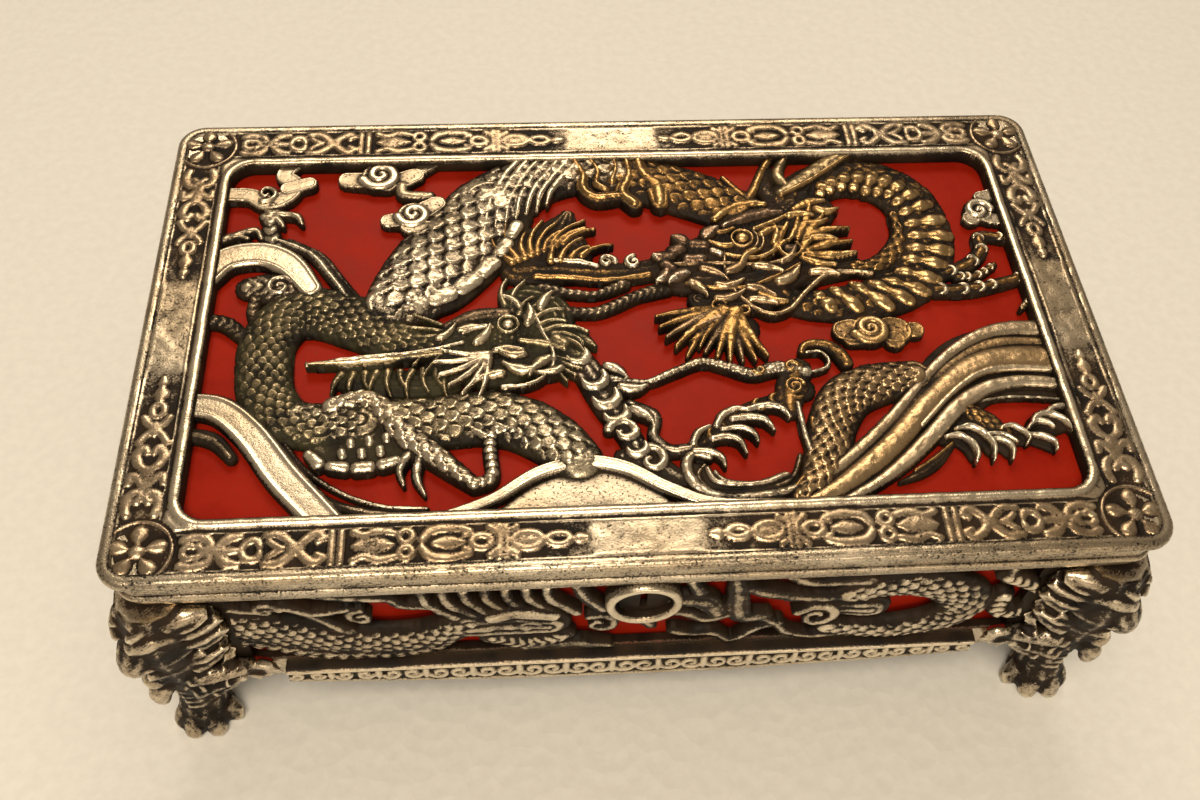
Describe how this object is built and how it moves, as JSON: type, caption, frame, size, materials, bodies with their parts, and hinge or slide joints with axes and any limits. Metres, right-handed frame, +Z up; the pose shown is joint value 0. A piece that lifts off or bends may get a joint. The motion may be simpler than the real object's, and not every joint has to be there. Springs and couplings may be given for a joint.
{
  "type": "ornamental casket",
  "caption": "Low rectangular trinket casket on four mask feet, with a lift-off lid of pierced dragon relief over a red panel and a lock ring in front.",
  "frame": {"origin": "on the ground, under the middle of the box", "axes": "+X along the box's length, to the right seen from the front; the front with the lock faces -Y; +Z up"},
  "size_m": [0.1868, 0.1136, 0.064],
  "materials": {
    "worn_silver": "worn silver plate over a cast white metal, dark in the recesses",
    "dark_silver": "the same metal, darkened and brownish",
    "red_lacquer": "vermilion lacquer, slightly glossy"
  },
  "bodies": {
    "root": {"lid": "worn_silver", "lid_panel": "red_lacquer", "box_body": "worn_silver", "box_lining": "red_lacquer", "lock_plug": "worn_silver", "foot_front_left": "dark_silver", "foot_front_right": "dark_silver", "foot_back_left": "dark_silver", "foot_back_right": "dark_silver"}
  },
  "joints": []
}
